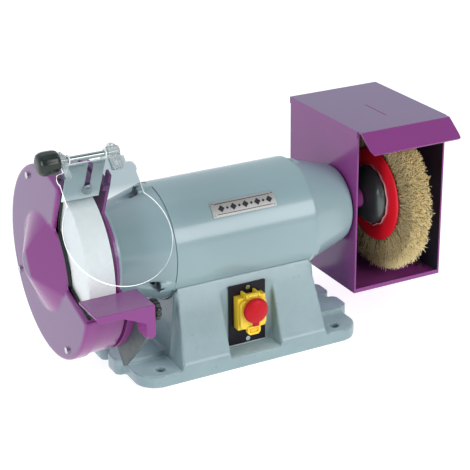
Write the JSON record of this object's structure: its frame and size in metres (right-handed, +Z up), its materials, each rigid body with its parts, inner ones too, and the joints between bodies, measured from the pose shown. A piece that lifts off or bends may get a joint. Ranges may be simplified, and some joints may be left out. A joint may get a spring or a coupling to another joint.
{
  "type": "bench grinder",
  "caption": "Bench grinder with a guarded grinding wheel, clear eye shield and tool rest on one side and a wire brush in a sheet-metal guard on the other.",
  "frame": {"origin": "centre of the foot's underside, midway between the four bench bolts", "axes": "+X along the spindle towards the wire brush, -Y towards the user, +Z up"},
  "size_m": [0.69, 0.3759, 0.388],
  "materials": {
    "body_paint": "gloss",
    "guard_paint": "gloss",
    "zinc": "satin",
    "steel": "satin",
    "dark_steel": "semi-gloss",
    "chrome": "polished",
    "abrasive": "matt, bonded grit",
    "brass_wire": "crimped wire",
    "red_paint": "gloss",
    "rubber": "matt",
    "black_plastic": "matt",
    "yellow_plastic": "satin",
    "red_plastic": "satin",
    "green_plastic": "satin",
    "clear_plastic": "clear",
    "plate_metal": "brushed",
    "paper": "matt",
    "copper": "enamelled wire",
    "white_plastic": "matt"
  },
  "bodies": {
    "base": {"base_casting": "body_paint", "base_cover_plate": "steel", "base_cover_screws": "steel", "motor_housing": "body_paint", "left_end_bell": "body_paint", "right_end_bell": "body_paint", "through_bolts": "dark_steel", "housing_bolts": "steel", "stator_core": "steel", "stator_windings": "copper", "bearing_outer_races": "steel", "name_plate": "plate_metal", "name_plate_rivets": "steel", "switch_plate": "black_plastic", "switch_body": "black_plastic", "switch_housing": "yellow_plastic", "switch_screws": "steel", "capacitor": "white_plastic", "terminal_block": "white_plastic", "cable_gland": "black_plastic", "guard_drum": "guard_paint", "guard_inner_wall": "guard_paint", "guard_outer_cover": "guard_paint", "cover_screws": "steel", "guard_bolts": "steel", "rest_bracket": "dark_steel", "bracket_screws": "steel", "rest_clamp_bolt": "steel", "brush_box": "guard_paint", "brush_box_top": "guard_paint", "brush_box_screws": "dark_steel", "brush_box_bolts": "steel", "brush_sleeve": "guard_paint", "arrester_bolt": "steel"},
    "spindle": {"spindle_shaft": "steel", "rotor_core": "steel", "rotor_end_rings": "steel", "bearing_inner_races": "steel", "cooling_fan": "black_plastic", "grinding_wheel": "abrasive", "wheel_blotters": "paper", "wheel_inner_flange": "steel", "wheel_outer_flange": "steel", "wheel_nut": "steel", "brush_bristles": "brass_wire", "brush_rings": "red_paint", "brush_cups": "dark_steel", "brush_nut": "steel"},
    "tool_rest": {"tool_rest": "guard_paint"},
    "rest_knob": {"rest_knob": "rubber"},
    "spark_arrester": {"spark_arrester": "zinc", "shield_rod": "chrome"},
    "eye_shield": {"eye_shield": "clear_plastic", "shield_clips": "clear_plastic"},
    "shield_knob": {"shield_knob": "rubber"},
    "switch_lid": {"estop_lid": "yellow_plastic"},
    "stop_pad": {"stop_pad": "red_plastic"},
    "start_button": {"start_button": "green_plastic"},
    "stop_button": {"stop_button": "red_plastic"}
  },
  "joints": [
    {"name": "spindle_spin", "type": "hinge", "parent": "base", "child": "spindle", "pos_m": [0, 0, 0.185], "axis": [1, 0, 0], "continuous": true},
    {"name": "rest_slide", "type": "slide", "parent": "base", "child": "tool_rest", "axis": [0, -1, 0], "range_m": [-0.002, 0.018]},
    {"name": "rest_knob_turn", "type": "hinge", "parent": "base", "child": "rest_knob", "pos_m": [-0.19, -0.163, 0.157], "axis": [1, 0, 0], "range_deg": [0, 360]},
    {"name": "arrester_slide", "type": "slide", "parent": "base", "child": "spark_arrester", "axis": [0, -0.4384, 0.8988], "range_m": [-0.002, 0.006]},
    {"name": "shield_tilt", "type": "hinge", "parent": "spark_arrester", "child": "eye_shield", "pos_m": [-0.245, -0.092, 0.371], "axis": [1, 0, 0], "range_deg": [-110, 15]},
    {"name": "shield_knob_turn", "type": "hinge", "parent": "spark_arrester", "child": "shield_knob", "pos_m": [-0.305, -0.092, 0.371], "axis": [1, 0, 0], "range_deg": [0, 360]},
    {"name": "lid_hinge", "type": "hinge", "parent": "base", "child": "switch_lid", "pos_m": [0, -0.0995, 0.108], "axis": [1, 0, 0], "range_deg": [-100, 0]},
    {"name": "stop_pad_press", "type": "slide", "parent": "switch_lid", "child": "stop_pad", "axis": [0, 1, 0], "range_m": [0, 0.0035], "stiffness_N_per_m": 600},
    {"name": "start_press", "type": "slide", "parent": "base", "child": "start_button", "axis": [0, 1, 0], "range_m": [0, 0.003], "stiffness_N_per_m": 400},
    {"name": "stop_press", "type": "slide", "parent": "base", "child": "stop_button", "axis": [0, 1, 0], "range_m": [0, 0.0035], "stiffness_N_per_m": 400}
  ],
  "couplings": [
    {"joint": "stop_press", "follows": "stop_pad_press", "ratio": 1}
  ]
}
